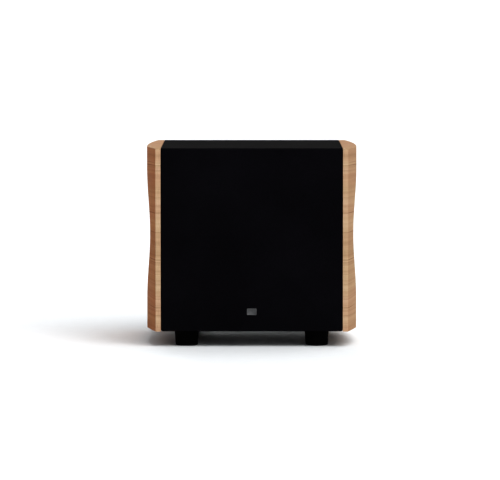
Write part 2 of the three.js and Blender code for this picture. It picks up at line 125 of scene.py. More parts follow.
def soften(obj, width, segments=2, angle=35):
    """Rounds every edge sharper than the angle, in degrees, by a width in millimetres."""
    bevel = obj.modifiers.new("edge rounding", "BEVEL")
    bevel.width = width * MM
    bevel.segments = segments
    bevel.limit_method = "ANGLE"
    bevel.angle_limit = math.radians(angle)
    bevel.harden_normals = True
    bevel.use_clamp_overlap = True
    return obj


def arc(x, y, radius, start, end, steps):
    """Points on an arc in a profile's plane, angles in degrees."""
    points = []
    for step in range(steps + 1):
        a = math.radians(start + (end - start) * step / steps)
        points.append((x + radius * math.cos(a), y + radius * math.sin(a)))
    return points


AXIS_FRAMES = {
    "Y": ((1, 0, 0), (0, 0, 1), (0, 1, 0)),
    "Z": ((1, 0, 0), (0, 1, 0), (0, 0, 1)),
}


def lathe_mesh(profile, segments, origin, axis, ripple=None):
    """Vertices and faces of a profile of (radius, height) in millimetres turned about an axis.

    A profile that touches the axis at both ends is closed there; any other one closes on itself.
    ripple(angle, radius, height) may return a changed radius.
    """
    across, up, along = (Vector(v) for v in AXIS_FRAMES[axis])
    capped = profile[0][0] == 0 and profile[-1][0] == 0
    verts, rings = [], []
    for radius, height in profile:
        base = Vector(origin) + along * height * MM
        if radius == 0:
            rings.append([len(verts)])
            verts.append(base)
            continue
        ring = []
        for step in range(segments):
            a = TURN * step / segments
            r = (ripple(a, radius, height) if ripple else radius) * MM
            ring.append(len(verts))
            verts.append(base + across * r * math.cos(a) + up * r * math.sin(a))
        rings.append(ring)
    faces = []
    last = len(rings) - 1 if capped else len(rings)
    for i in range(last):
        a, b = rings[i], rings[(i + 1) % len(rings)]
        for step in range(segments):
            after = (step + 1) % segments
            if len(a) == 1:
                faces.append((a[0], b[step], b[after]))
            elif len(b) == 1:
                faces.append((a[step], b[0], a[after]))
            else:
                faces.append((a[step], b[step], b[after], a[after]))
    return verts, faces


def lathe(name, profile, material, origin, axis="Y", segments=96, rounding=0.0, ripple=None):
    """A turned object, with its edges rounded by a width in millimetres."""
    verts, faces = lathe_mesh(profile, segments, origin, axis, ripple)
    obj = new_object(name, verts, faces, material)
    return soften(obj, rounding) if rounding else obj


def joined(name, parts, material):
    """One object made of several closed (vertices, faces) shells."""
    verts, faces = [], []
    for part_verts, part_faces in parts:
        start = len(verts)
        verts.extend(part_verts)
        faces.extend(tuple(start + i for i in face) for face in part_faces)
    return new_object(name, verts, faces, material)


def ring_profile(inner, outer, near, far):
    """The profile of a plain ring: its two radii, then the heights of its two faces."""
    return [(inner, near), (outer, near), (outer, far), (inner, far)]


def hexagonal(angle, radius, share):
    """A share of the radius, at an angle, of the hexagon drawn round a circle."""
    return radius / math.cos((angle % (TURN / 6)) - TURN / 12) * share


def loft(outlines):
    """Vertices of closed outlines, the faces between each and the next, and the two end faces."""
    verts = [point for outline in outlines for point in outline]
    count = len(outlines[0])
    faces = []
    for start in range(0, len(verts) - count, count):
        for i in range(count):
            a, b = start + i, start + (i + 1) % count
            faces.append((a, b, b + count, a + count))
    ends = [tuple(range(count)), tuple(range(len(verts) - count, len(verts)))]
    return verts, faces, ends


def block(spot, low, high):
    """Vertices and faces of a box, its low and high corners in mm from a spot."""
    (x0, y0, z0), (x1, y1, z1) = (spot + Vector(corner) * MM for corner in (low, high))
    verts = [Vector((x, y, z)) for x in (x0, x1) for y in (y0, y1) for z in (z0, z1)]
    faces = [(0, 1, 3, 2), (4, 6, 7, 5), (0, 4, 5, 1), (2, 3, 7, 6), (0, 2, 6, 4), (1, 5, 7, 3)]
    return verts, faces


def rounded_rectangle(width, height, radius, steps=6):
    """Corner points of an outline, anticlockwise, in millimetres."""
    x, y = width / 2 - radius, height / 2 - radius
    corners = ((x, y, 0), (-x, y, 90), (-x, -y, 180), (x, -y, 270))
    return [p for cx, cy, a in corners for p in arc(cx, cy, radius, a, a + 90, steps)]


# ---- material helpers ----

BAND_LENGTH = TURN / 20  # of a wave texture at a scale of 1, in metres


class Shader:
    """A material's node tree, with short ways to add and join nodes."""

    def __init__(self, name, **sockets):
        self.material = bpy.data.materials.new(name)
        self.material.use_nodes = True
        self.tree = self.material.node_tree
        self.bsdf = self.tree.nodes["Principled BSDF"]
        for socket, value in sockets.items():
            self.bsdf.inputs[socket.replace("_", " ")].default_value = value

    def add(self, kind, **settings):
        node = self.tree.nodes.new(kind)
        for key, value in settings.items():
            if hasattr(node, key):
                setattr(node, key, value)
            else:
                node.inputs[key.replace("_", " ")].default_value = value
        return node

    def join(self, source, target):
        self.tree.links.new(source, target)

    def place_at(self, scale=(1, 1, 1)):
        """Object coordinates, stretched by a scale for each axis."""
        coordinates = self.add("ShaderNodeTexCoord")
        mapping = self.add("ShaderNodeMapping")
        mapping.inputs["Scale"].default_value = scale
        self.join(coordinates.outputs["Object"], mapping.inputs["Vector"])
        return mapping.outputs["Vector"]

    def vector(self, x, y, z):
        node = self.add("ShaderNodeCombineXYZ")
        for value, axis in ((x, "X"), (y, "Y"), (z, "Z")):
            self.join(value, node.inputs[axis])
        return node.outputs["Vector"]

    def noise(self, vector, scale, detail=4, roughness=0.55, distortion=0.0):
        node = self.add("ShaderNodeTexNoise", Scale=scale, Detail=detail, Roughness=roughness,
                        Distortion=distortion)
        self.join(vector, node.inputs["Vector"])
        return node.outputs["Fac"]

    def waves(self, vector, axis, scale, distortion=0.0):
        """Soft bands across an axis; at a scale of 1 they repeat every BAND_LENGTH metres."""
        node = self.add("ShaderNodeTexWave", wave_type="BANDS", bands_direction=axis, Scale=scale,
                        Distortion=distortion)
        self.join(vector, node.inputs["Vector"])
        return node.outputs["Fac"]

    def ramp(self, factor, stops):
        """stops are (position, colour) pairs."""
        node = self.add("ShaderNodeValToRGB")
        elements = node.color_ramp.elements
        while len(elements) < len(stops):
            elements.new(0.5)
        for element, (position, colour) in zip(elements, stops):
            element.position = position
            element.color = (*colour, 1)
        self.join(factor, node.inputs["Fac"])
        return node.outputs["Color"]

    def mix(self, factor, a, b, blend="MIX"):
        node = self.add("ShaderNodeMix", data_type="RGBA", blend_type=blend)
        for value, socket in ((factor, "Factor_Float"), (a, "A_Color"), (b, "B_Color")):
            target = next(s for s in node.inputs if s.identifier == socket)
            if isinstance(value, bpy.types.NodeSocket):
                self.join(value, target)
            else:
                target.default_value = value if isinstance(value, float) else (*value, 1)
        return next(s for s in node.outputs if s.identifier == "Result_Color")

    def math(self, operation, a, b=0.0):
        node = self.add("ShaderNodeMath", operation=operation)
        for value, target in ((a, node.inputs[0]), (b, node.inputs[1])):
            if isinstance(value, bpy.types.NodeSocket):
                self.join(value, target)
            else:
                target.default_value = value
        return node.outputs[0]

    def spread(self, factor, low, high):
        """A 0 to 1 factor mapped to a range, for roughness."""
        node = self.add("ShaderNodeMapRange", To_Min=low, To_Max=high)
        self.join(factor, node.inputs["Value"])
        return node.outputs["Result"]

    def between(self, value, start, end):
        """0 up to the start and 1 past the end, whichever of them is higher."""
        low, high = (0.0, 1.0) if start < end else (1.0, 0.0)
        node = self.add("ShaderNodeMapRange", From_Min=min(start, end), From_Max=max(start, end),
                        To_Min=low, To_Max=high)
        self.join(value, node.inputs["Value"])
        return node.outputs["Result"]

    def colour(self, socket):
        self.join(socket, self.bsdf.inputs["Base Color"])

    def roughness(self, factor, low, high):
        self.join(self.spread(factor, low, high), self.bsdf.inputs["Roughness"])

    def bump(self, height, strength, distance):
        node = self.add("ShaderNodeBump", Strength=strength, Distance=distance * MM)
        self.join(height, node.inputs["Height"])
        self.join(node.outputs["Normal"], self.bsdf.inputs["Normal"])


def tinted(colour, factor):
    return tuple(min(1.0, channel * factor) for channel in colour)


def grained(name, colour, rough, grain=900.0, depth=0.05, contrast=0.25, specular=0.3, **sockets):
    """A moulded, painted or cast surface: a fine grain in relief, with uneven colour and gloss.

    grain is the noise scale, and depth is the relief's in millimetres.
    """
    shader = Shader(name, Specular_IOR_Level=specular, **sockets)
    at = shader.place_at()
    fine = shader.noise(at, grain, detail=3)
    broad = shader.noise(at, 14, detail=3)
    dark = tinted(colour, 1 - contrast)
    light = tinted(colour, 1 + contrast)
    shader.colour(shader.ramp(broad, [(0.3, dark), (0.7, light)]))
    shader.roughness(shader.math("MULTIPLY", fine, broad), rough - 0.06, rough + 0.2)
    shader.bump(fine, 0.35, depth)
    return shader.material


def brushed(name, colour, rough, stretch, metallic=1.0):
    """Metal with fine lines; stretch is the noise scale along each axis, small along the lines."""
    shader = Shader(name, Metallic=metallic)
    at = shader.place_at(stretch)
    lines = shader.noise(at, 1.0, detail=6, roughness=0.7)
    shader.colour(shader.ramp(lines, [(0.3, tinted(colour, 0.8)), (0.7, tinted(colour, 1.15))]))
    shader.roughness(lines, rough - 0.08, rough + 0.14)
    shader.bump(lines, 0.2, 0.02)
    return shader.material


# ---- materials ----

GRAIN_DRIFT = 0.020  # metres that the grain wanders up and down
GRAIN_WAVES = 2.6  # noise scale of that wandering
EDGE_BAND = (1.4 * MM, 0.5 * MM)  # the painted front and top light fades in between these depths behind each face
RIGHT_VENEER = (0.46, 0.315, 0.197)
# The left cheek's redder, darker veneer is painted shade, for the side turned away from the key light.
LEFT_VENEER_PAINTED_SHADE = (0.462, 0.219, 0.098)
# The paler front face and top face are painted light: from the front with a painted sheen, and from above.
FRONT_FACE_PAINTED_LIGHT = (0.575, 0.430, 0.298)
TOP_FACE_PAINTED_LIGHT = (0.50, 0.345, 0.225)


def wood_material():
    """Satin lacquered light brown hardwood, its grain level from front to back.

    The pattern is mirrored from one cheek to the other. The left cheek is redder and darker, which is
    painted shade. The front face and the top face are paler, which is painted light from the front with
    a painted sheen, and painted light from above.
    """
    shader = Shader("lacquered_wood_with_painted_light", Specular_IOR_Level=0.03)
    coordinates = shader.add("ShaderNodeTexCoord").outputs["Object"]
    split = shader.add("ShaderNodeSeparateXYZ")
    shader.join(coordinates, split.inputs["Vector"])
    x, y, z = (split.outputs[axis] for axis in "XYZ")
    outward = shader.math("ABSOLUTE", x)
    drift = shader.noise(shader.vector(outward, y, z), GRAIN_WAVES, detail=2)
    wandering = shader.math("ADD", z, shader.math("MULTIPLY", drift, GRAIN_DRIFT))
    grain = shader.vector(outward, y, wandering)

    def layer(across, along, detail, rough=0.6):
        """Noise with one scale across the grain and a smaller one along it."""
        stretch = shader.add("ShaderNodeMapping")
        stretch.inputs["Scale"].default_value = (along, along, across)
        shader.join(grain, stretch.inputs["Vector"])
        return shader.noise(stretch.outputs["Vector"], 1.0, detail=detail, roughness=rough)

    def darken(under, factor, low, high, colour, most):
        """Fades up to a share of a darker colour in, where the factor is above low."""
        share = shader.ramp(factor, [(low, (0.0,) * 3), (high, (most,) * 3)])
        return shader.mix(share, under, colour)

    # Each layer's scale across the grain, its scale along it, and its detail.
    boards = layer(34, 0.7, 3)
    rings = layer(170, 1.6, 4)
    lines = layer(430, 2.4, 3)
    pores = layer(2200, 80.0, 2)
    streaks = layer(330, 1.3, 2, rough=0.4)
    patches = layer(15, 1.6, 2)
    pattern = shader.ramp(boards, [(0.36, (0.80, 0.74, 0.69)), (0.46, (0.90, 0.84, 0.80)),
                                   (0.54, (0.93, 0.92, 0.88)), (0.66, (1.0, 1.0, 1.0))])
    pattern = darken(pattern, rings, 0.45, 0.75, (0.66, 0.56, 0.50), 0.6)
    pattern = darken(pattern, lines, 0.60, 0.70, (0.46, 0.34, 0.26), 0.6)
    pattern = darken(pattern, streaks, 0.645, 0.69, (0.42, 0.30, 0.22), 0.85)
    hue = shader.ramp(patches, [(0.38, (1.0, 0.91, 0.92)), (0.58, (1.0, 1.0, 0.96))])
    pattern = shader.mix(1.0, pattern, hue, "MULTIPLY")
    pattern = darken(pattern, pores, 0.62, 0.70, (0.35, 0.25, 0.18), 0.3)
    # The left cheek takes a redder, darker veneer: painted shade for the side turned away from the key
    # light.
    left = shader.between(x, 0.05, -0.05)
    face = shader.mix(left, RIGHT_VENEER, LEFT_VENEER_PAINTED_SHADE)
    # Paler front face and top face: painted light from the front with a painted sheen, and painted light
    # from above.
    front = shader.between(y, FRONT_Y + EDGE_BAND[0], FRONT_Y + EDGE_BAND[1])
    top = shader.between(z, CAD_BOX[1].z - EDGE_BAND[0], CAD_BOX[1].z - EDGE_BAND[1])
    face = shader.mix(top, shader.mix(front, face, FRONT_FACE_PAINTED_LIGHT), TOP_FACE_PAINTED_LIGHT)
    shader.colour(shader.mix(1.0, pattern, face, "MULTIPLY"))
    shader.roughness(rings, 0.46, 0.62)
    shader.bump(shader.math("ADD", lines, pores), 0.12, 0.05)
    return shader.material


KNIT_SCALE = 330.0  # gives rows of loops about 1 mm apart
WINDING_SCALE = 620.0  # gives turns 0.5 mm apart


def cloth_material():
    """Black acoustic knit: small open loops in rows, with a faint nap."""
    shader = Shader("grille_knit", Specular_IOR_Level=0.02)
    at = shader.place_at()
    knit = shader.math("MULTIPLY", *(shader.waves(at, axis, KNIT_SCALE) for axis in "XZ"))
    fibre = shader.noise(at, 1500, detail=3)
    height = shader.math("ADD", knit, shader.math("MULTIPLY", fibre, 0.4))
    broad = shader.noise(at, 6, detail=3)
    loop_shade = shader.ramp(knit, [(0.0, (0.0030, 0.0028, 0.0035)), (0.75, (0.0125, 0.0115, 0.0145))])
    wear = shader.ramp(broad, [(0.3, (0.0055, 0.0050, 0.0066)), (0.7, (0.0105, 0.0096, 0.0125))])
    shader.colour(shader.mix(0.5, loop_shade, wear))
    shader.roughness(fibre, 0.8, 0.98)
    shader.bump(height, 0.6, 0.25)
    return shader.material


def cone_material():
    """Pressed fibre cone, with flecks."""
    shader = Shader("cone_pulp", Specular_IOR_Level=0.3)
    at = shader.place_at()
    fibre = shader.noise(at, 260, detail=8, roughness=0.7, distortion=1.2)
    shader.colour(shader.ramp(fibre, [(0.35, (0.007, 0.007, 0.008)), (0.62, (0.018, 0.018, 0.020)),
                                      (0.75, (0.035, 0.035, 0.037))]))
    shader.roughness(fibre, 0.45, 0.75)
    shader.bump(fibre, 0.5, 0.12)
    return shader.material


def woven_material(name, colour, thread, rough=0.8):
    """Cloth with a plain weave, its thread width in millimetres."""
    shader = Shader(name, Specular_IOR_Level=0.25)
    at = shader.place_at()
    scale = BAND_LENGTH / (thread * MM)
    weave = shader.math("MAXIMUM", *(shader.waves(at, axis, scale, distortion=0.4) for axis in "XZ"))
    shader.colour(shader.ramp(weave, [(0.2, tinted(colour, 0.55)), (0.9, tinted(colour, 1.1))]))
    shader.roughness(weave, rough - 0.1, rough + 0.1)
    shader.bump(weave, 0.5, 0.2)
    return shader.material


def copper_material():
    """Enamelled wire, wound turn by turn along Y."""
    shader = Shader("copper_winding", Metallic=0.85, Coat_Weight=0.4)
    at = shader.place_at()
    turns = shader.waves(at, "Y", WINDING_SCALE, distortion=0.3)
    wear = shader.noise(at, 90)
    shader.colour(shader.mix(wear, (0.42, 0.15, 0.06), (0.62, 0.27, 0.12)))
    shader.roughness(wear, 0.25, 0.45)
    shader.bump(turns, 0.7, 0.2)
    return shader.material


MATERIALS = {
    "wood": wood_material(),
    "cloth": cloth_material(),
    "cone": cone_material(),
    "copper": copper_material(),
    "spider": woven_material("spider_weave", (0.42, 0.24, 0.07), 0.7),
    "tape": woven_material("transformer_tape", (0.44, 0.25, 0.06), 3.0, rough=0.45),
    "paint": grained(
        "satin_black_paint", (0.0105, 0.0095, 0.0100), 0.48, grain=700, depth=0.03, specular=0.22),
    "lid": grained(
        "satin_black_lid", (0.0120, 0.0106, 0.0105), 0.8, grain=700, depth=0.03, specular=0.05),
    "board": grained("raw_fibreboard", (0.30, 0.19, 0.10), 0.85, grain=420, depth=0.2),
    "frame": grained("frame_moulding", (0.010, 0.010, 0.011), 0.6, grain=1100),
    "plastic": grained("fitting_plastic", (0.012, 0.012, 0.013), 0.5, grain=1600, depth=0.03),
    "knob": grained("soft_knob", (0.013, 0.013, 0.014), 0.6, grain=1900, depth=0.03),
    "foot": grained("foot_moulding", (0.0030, 0.0030, 0.0033), 0.7, grain=1100, specular=0.04),
    "rubber": grained(
        "black_rubber", (0.0040, 0.0040, 0.0042), 0.82, grain=1300, depth=0.06, specular=0.15),
    "surround": grained("surround_rubber", (0.011, 0.011, 0.012), 0.5, grain=800, depth=0.04),
    "cast": grained("powder_coated_casting", (0.013, 0.013, 0.015), 0.55, grain=1400, depth=0.08),
    "coat": grained("textured_powder_coat", (0.014, 0.014, 0.015), 0.55, grain=1800, depth=0.12),
    "anodised": brushed("black_anodised", (0.030, 0.030, 0.032), 0.42, (40, 900, 6)),
    "nameplate": brushed("brushed_nameplate", (0.125, 0.125, 0.127), 0.38, (60, 900, 2600)),
    "steel": brushed("plated_steel", (0.50, 0.50, 0.48), 0.35, (300, 300, 300)),
    "nickel": brushed("nickel_plate", (0.66, 0.65, 0.61), 0.2, (900, 60, 900)),
    "screw": brushed("black_screw", (0.035, 0.035, 0.037), 0.35, (500, 500, 500)),
    "ferrite": grained("ferrite_ceramic", (0.022, 0.022, 0.024), 0.75, grain=500, depth=0.15),
    "film": grained("amber_film", (0.45, 0.26, 0.08), 0.3, grain=300, Coat_Weight=0.3),
    "print": grained("white_print", (0.45, 0.45, 0.44), 0.6, grain=1500, depth=0.01, contrast=0.08),
    "laminate": grained("green_laminate", (0.015, 0.115, 0.045), 0.35, grain=500, Coat_Weight=0.3),
    "sleeve": grained("capacitor_sleeve", (0.016, 0.020, 0.045), 0.3, grain=300, Coat_Weight=0.4),
    "sheath": grained("lead_sheath", (0.22, 0.018, 0.014), 0.5, grain=700),
    "lens": grained(
        "red_lens", (0.28, 0.010, 0.008), 0.12, grain=400, depth=0.01, Transmission_Weight=0.4),
    "red": grained("red_insulator", (0.40, 0.012, 0.010), 0.4, grain=900),
    "white": grained("white_insulator", (0.60, 0.60, 0.57), 0.4, grain=900, contrast=0.08),
}

# ---- finished pieces ----


def turned(name, profile, material, spot, slot, replaces=(), body="root", **shape):
    """A lathed piece on its body; shape is what lathe takes."""
    return place(lathe(name, profile, MATERIALS[material], spot, **shape), body, replaces)


def assembled(name, shells, material, replaces=(), body="root", rounding=0.0, segments=2):
    """A piece made of closed shells on its body, with its edges rounded by a width in mm."""
    piece = joined(name, shells, MATERIALS[material])
    if rounding:
        soften(piece, rounding, segments)
    return place(piece, body, replaces)


# ---- wood cheeks ----

CHEEK_STEPS = 72  # up a cheek
FACET_STEPS = 10  # across its front facet
SIDE_STEPS = 26  # across its side
STRIP_W = 10.3  # of the front strip beside the black cabinet, in mm
FACET_SLOPE = 0.238
FACET_CURVE = 0.000435
SIDE_PEAK_DEPTH = 140.0  # where the cheek is widest, in mm behind the front
SIDE_RADIUS = 1570.0
WAIST_Z = 214.2
WAIST_HALF = 128.0  # the waist's reach up and down
WAIST_SHARE = 0.2  # how much of the cheek's thickness is lost at the waist
BOX_X_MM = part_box("top_panel")[1].x / MM
SIDE_X_MM = CAD_BOX[1].x / MM


def side_face(depth, height):
    """Distance of the cheek's side from the middle plane, at a depth behind the front, in mm."""
    off_axis = (height - WAIST_Z) / WAIST_HALF
    waist = math.cos(off_axis * math.pi / 2) ** 2 if abs(off_axis) < 1 else 0.0
    full = SIDE_X_MM - (depth - SIDE_PEAK_DEPTH) ** 2 / (2 * SIDE_RADIUS) - BOX_X_MM
    return BOX_X_MM + full * (1 - WAIST_SHARE * waist)


def facet_face(depth):
    """Distance of the front facet from the middle plane, at a depth behind the front, in mm."""
    return BOX_X_MM + STRIP_W + FACET_SLOPE * depth - FACET_CURVE * depth ** 2


def crease_depth(height):
    """The depth where the front facet meets the side."""
    near, far = 0.0, SIDE_PEAK_DEPTH
    for _ in range(40):
        middle = (near + far) / 2
        if facet_face(middle) < side_face(middle, height):
            near = middle
        else:
            far = middle
    return near


def build_cheek(name, side):
    """One cheek, lofted from level outlines; side is -1 for the left one and 1 for the right one."""
    low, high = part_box(name)
    inner_mm = min(abs(low.x), abs(high.x)) / MM
    depth_mm = (high.y - low.y) / MM
    rows = []
    for row in range(CHEEK_STEPS + 1):
        height = (low.z + (high.z - low.z) * row / CHEEK_STEPS) / MM
        crease = crease_depth(height)
        outline = [(inner_mm, 0.0)]
        for step in range(FACET_STEPS):
            depth = crease * step / FACET_STEPS
            outline.append((facet_face(depth), depth))
        for step in range(SIDE_STEPS + 1):
            depth = crease + (depth_mm - crease) * step / SIDE_STEPS
            outline.append((side_face(depth, height), depth))
        outline.append((inner_mm, depth_mm))
        rows.append([Vector((side * x, FRONT_Y / MM + y, height)) * MM for x, y in outline])
    verts, faces, ends = loft(rows)
    cheek = new_object(name + "_veneered", verts, faces + ends, MATERIALS["wood"])
    crease_column = 1 + FACET_STEPS
    sharp = cheek.data.attributes.new("sharp_edge", "BOOLEAN", "EDGE")
    for edge in cheek.data.edges:
        a, b = (v % len(rows[0]) for v in edge.vertices)
        sharp.data[edge.index].value = a == b == crease_column
    soften(cheek, 0.7, segments=3, angle=40)
    place(cheek, "root", [name])


build_cheek("side_cheek_left", -1)
build_cheek("side_cheek_right", 1)

# ---- grille ----

CLOTH_T = 0.6  # in mm, as are the next two
EDGE_R = 2.2  # of the cloth's turn round the frame's edge
CORNER_R = 1.5  # of the flat front's corners
CORNER_GAIN = 0.6  # how much that radius grows round the turn


def behind(middle, front, point, depth):
    """A point of an outline, as (x, z) from a middle, at a depth behind a front face, in mm."""
    x, z = point
    return Vector((middle.x + x * MM, front + depth * MM, middle.z + z * MM))


def build_grille_cloth():
    """The knit, pulled tight over the frame's front and round its edges."""
    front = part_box("grille_cloth")[0].y
    half = size("grille_cloth") / 2
    middle = centre("grille_cloth")
    wrap = size("grille_cloth").y / MM
    levels = arc(-EDGE_R, EDGE_R, EDGE_R, -90, 0, 6)  # out, back
    levels += [(0.0, wrap * share) for share in (0.4, 0.6, 0.8, 1.0)]
    outlines = []
    for out, back in levels:
        x, z = half.x / MM + out, half.z / MM + out
        radius = CORNER_R + (out + EDGE_R) * CORNER_GAIN
        points = rounded_rectangle(2 * x, 2 * z, radius, steps=4)
        outlines.append([behind(middle, front, point, back) for point in points])
    verts, faces, ends = loft(outlines)
    cloth = new_object("grille_knit_cloth", verts, ends[:1] + faces, MATERIALS["cloth"])
    thick = cloth.modifiers.new("cloth thickness", "SOLIDIFY")
    thick.thickness = CLOTH_T * MM
    thick.offset = -1
    place(cloth, "grille", ["grille_cloth"])


build_grille_cloth()


def build_nameplate():
    """A blank plate with rounded corners and a raised rim."""
    middle = centre("nameplate")
    width, thickness, height = (v / MM for v in size("nameplate"))
    corner_r = 1.8
    levels = [(0.0, thickness), (0.0, 0.12), (-0.25, 0.0), (-0.9, 0.0), (-1.15, 0.16)]  # out, back
    outlines = []
    for out, back in levels:
        points = rounded_rectangle(width + 2 * out, height + 2 * out, corner_r + out)
        outlines.append([behind(middle, FRONT_Y, point, back) for point in points])
    verts, faces, ends = loft(outlines)
    plate = new_object("blank_nameplate", verts, faces + ends, MATERIALS["nameplate"])
    place(plate, "grille", ["nameplate"])


build_nameplate()


def build_pegs():
    """Four ball ended pegs on the frame, and the rubber cups in the baffle that hold them."""
    shank = [(0, -7.7), (4.5, -7.7), (4.5, 0), (3.2, 0.6), (3.2, 8),
             *arc(0.4, 11.7, 3.6, -45, 60, 8), (1.4, 15.5), (0, 15.5)]
    cup = [(0, 17.5), (7, 17.5), (7, -0.3), (8.6, -0.3), (8.6, -1.3), (4.3, -1.3), (4.3, 15.7),
           (0, 15.7)]
    for index in range(1, 5):
        peg, socket = f"grille_peg_{index}", f"peg_socket_{index}"
        root = Vector((centre(peg).x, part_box("grille_frame")[1].y, centre(peg).z))
        turned(peg + "_turned", shank, "frame", root, "frame_plastic", [peg], "grille", segments=32)
        mouth = Vector((centre(socket).x, BAFFLE_Y, centre(socket).z))
        turned(socket + "_cup", cup, "rubber", mouth, "rubber", [socket], segments=32, rounding=0.25)


build_pegs()

# ---- screws ----

SOCKET_SHARE = 0.92  # of a hexagon's drawn radius, at the middle of its flats
NUT_SHARE = 0.93


def screw_head(spot, radius, rise, outward):
    """A button head with a hexagonal socket, facing along Y: outward is 1 or -1."""
    socket = radius * 0.45

    def hexagon(angle, r, _):
        return hexagonal(angle, r, SOCKET_SHARE) if r == socket else r

    profile = [(0, rise * 0.3), (socket, rise * 0.3), (socket, rise), (radius * 0.62, rise),
               (radius * 0.88, rise * 0.72), (radius, rise * 0.2), (radius, -0.8), (0, -0.8)]
    return lathe_mesh([(r, h * outward) for r, h in profile], 30, spot, "Y", hexagon)


# ---- driver ----

DRIVER = Vector((MIDDLE.x, BAFFLE_Y, MIDDLE.z))
FORMER_R = 26.7  # of the coil's inside and the cone's neck
SCREW_RING_R = 126.5
ARMS = 6
FLANGE_SCREWS = 8


def driver_part(name, profile, material, slot, node, body="root", **shape):
    """A part turned about the driver's axis, heights measured back from the baffle's face."""
    return turned(name, profile, material, DRIVER, slot, [node], body, **shape)


def spoke(angle):
    """One arm of the casting, with a rib along its back, between the flange and the rear ring."""
    outward = Vector((math.cos(angle), 0, math.sin(angle)))
    sideways = Vector((-math.sin(angle), 0, math.cos(angle)))
    front_r, front_depth, rear_r, rear_depth = 112.5, 9.0, 72.0, 67.0
    lean_r, lean_depth = 0.82, 0.573  # the arm's outward direction, square to its run
    steps = 10
    outlines = []
    for step in range(steps + 1):
        share = step / steps
        half = 15 - 5.5 * math.sin(share * math.pi / 2)
        rib = 1.2 + 5.5 * math.sin(share * math.pi) ** 0.5
        section = [(-half, -1.9), (half, -1.9), (half, 1.2), (2.6, 1.6),
                   (1.7, rib), (-1.7, rib), (-2.6, 1.6), (-half, 1.2)]
        outlines.append([])
        for across, out in section:
            r = front_r + (rear_r - front_r) * share + lean_r * out
            depth = front_depth + (rear_depth - front_depth) * share + lean_depth * out
            spot = outward * r + sideways * across + Vector((0, depth, 0))
            outlines[-1].append(DRIVER + spot * MM)
    verts, faces, ends = loft(outlines)
    return verts, faces + ends


def build_basket():
    """The casting, its gasket and the screws through its flange."""
    flange = [(114, 1), (130.2, 1), (131, 1.8), (131, 6), (119, 6),
              (117, 11), (108, 11), (107, 8), (107, 5.2), (114, 5.2)]
    pot = [(36, 70), (62, 70), (62, 62), (70.5, 62), (76, 68), (76, 74), (36, 74)]
    shells = [lathe_mesh(flange, 128, DRIVER, "Y"), lathe_mesh(pot, 96, DRIVER, "Y")]
    shells += [spoke(TURN / 4 + TURN * i / ARMS) for i in range(ARMS)]
    assembled("basket_casting", shells, "cast", ["driver_basket"], rounding=0.5)
    gasket = ring_profile(120.5, 131, 6.3, 7)
    driver_part("flange_gasket", gasket, "rubber", "rubber", "driver_gasket")
    heads = []
    for i in range(FLANGE_SCREWS):
        a = TURN * (i + 0.5) / FLANGE_SCREWS
        spot = DRIVER + Vector((math.cos(a) * SCREW_RING_R, 1, math.sin(a) * SCREW_RING_R)) * MM
        heads.append(screw_head(spot, 3.5, 1.9, -1))
    assembled("driver_screws", heads, "screw")


def flexing_part(name, profile, material, slot, node, moving_r, still_r, **shape):
    """A ring from the moving cone to the still frame: the nearer the cone, the more it follows it."""
    piece = lathe(name, profile, MATERIALS[material], DRIVER, **shape)
    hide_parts(node)
    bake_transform(piece, "root", "cone_assembly", DRIVER, DRIVER + Vector((0, 0.01, 0)))
    # A point's share of the cone's motion goes by its distance from the driver's axis.
    weights = piece.data.attributes["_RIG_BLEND"]
    for point, vertex in zip(weights.data, piece.data.vertices):
        offset = vertex.co - DRIVER
        r = math.hypot(offset.x, offset.z) / MM
        share = min(1.0, max(0.0, (still_r - r) / (still_r - moving_r)))
        point.value = share * share * (3 - 2 * share)


def build_surround():
    """The rubber roll: a half round that bulges forward, glued to the cone and the flange's ledge."""
    outer = arc(100, 3.2, 9.5, -171, 4, 25)
    inner = arc(100, 3.2, 8.5, 11, -171, 26)
    profile = [(85.5, 1.7), (88, 1.7), *outer, (111, 3.9), (113.2, 3.9), (113.2, 4.9), (110.5, 4.9),
               *inner, (88, 2.7), (85.5, 2.7)]
    flexing_part("surround_roll", profile, "surround", "surround_rubber", "surround",
                 moving_r=91, still_r=109, segments=128)


def build_spider():
    """The corrugated cloth disc that centres the coil."""
    waves, steps, inner_r, outer_r = 6, 48, 30.0, 62.0
    depth, lift, thickness = 60.8, 1.2, 0.8
    front = [(FORMER_R, depth)]
    for step in range(steps + 1):
        share = step / steps
        wave = 1 - math.cos(share * TURN * waves / 2)
        front.append((inner_r + (outer_r - inner_r) * share, depth - lift * wave))
    front.append((69.8, depth))
    profile = front + [(r, d + thickness) for r, d in reversed(front)]
    flexing_part("spider_disc", profile, "spider", "spider_cloth", "spider",
                 moving_r=28, still_r=63)


def cone_face(shares, reach, neck, fall):
    """Points along one face of the cone: a straight flare from its neck, slightly bowed."""
    return [(FORMER_R + reach * s, neck - fall * s + 2.2 * math.sin(math.pi * s)) for s in shares]


def build_moving_parts():
    """The cone, its dust cap, and the coil on its former."""
    shares = [step / 10 for step in range(1, 10)]
    cone = [(FORMER_R, 44), *cone_face(shares, 57.3, 44, 41), (84, 3), (90, 3), (90, 4.4), (84.6, 4.4),
            *cone_face(reversed(shares), 57.9, 46, 41.6), (FORMER_R, 46)]
    driver_part("cone_shell", cone, "cone", "cone_pulp", "cone", "cone_assembly", segments=128)
    steps = 16
    front = [(38 * step / steps, 24 + 10.4 * (step / steps) ** 2) for step in range(steps + 1)]
    dome = front + [(38.6, 34.9), (38, 35.4)] + [(r, d + 1) for r, d in reversed(front[:-1])]
    driver_part("dust_dome", dome, "cone", "cone_pulp", "dust_cap", "cone_assembly", segments=128)
    former = ring_profile(25.8, 26.4, 42, 90)
    driver_part("former_tube", former, "film", "former_film", "coil_former", "cone_assembly")
    turns = [(28.3 - 0.3 * (step % 2), 66.3 + step * 0.5) for step in range(48)]
    coil = [(FORMER_R, 66), (28, 66), *turns, (28, 90), (FORMER_R, 90)]
    driver_part("wound_coil", coil, "copper", "copper_wire", "voice_coil", "cone_assembly")


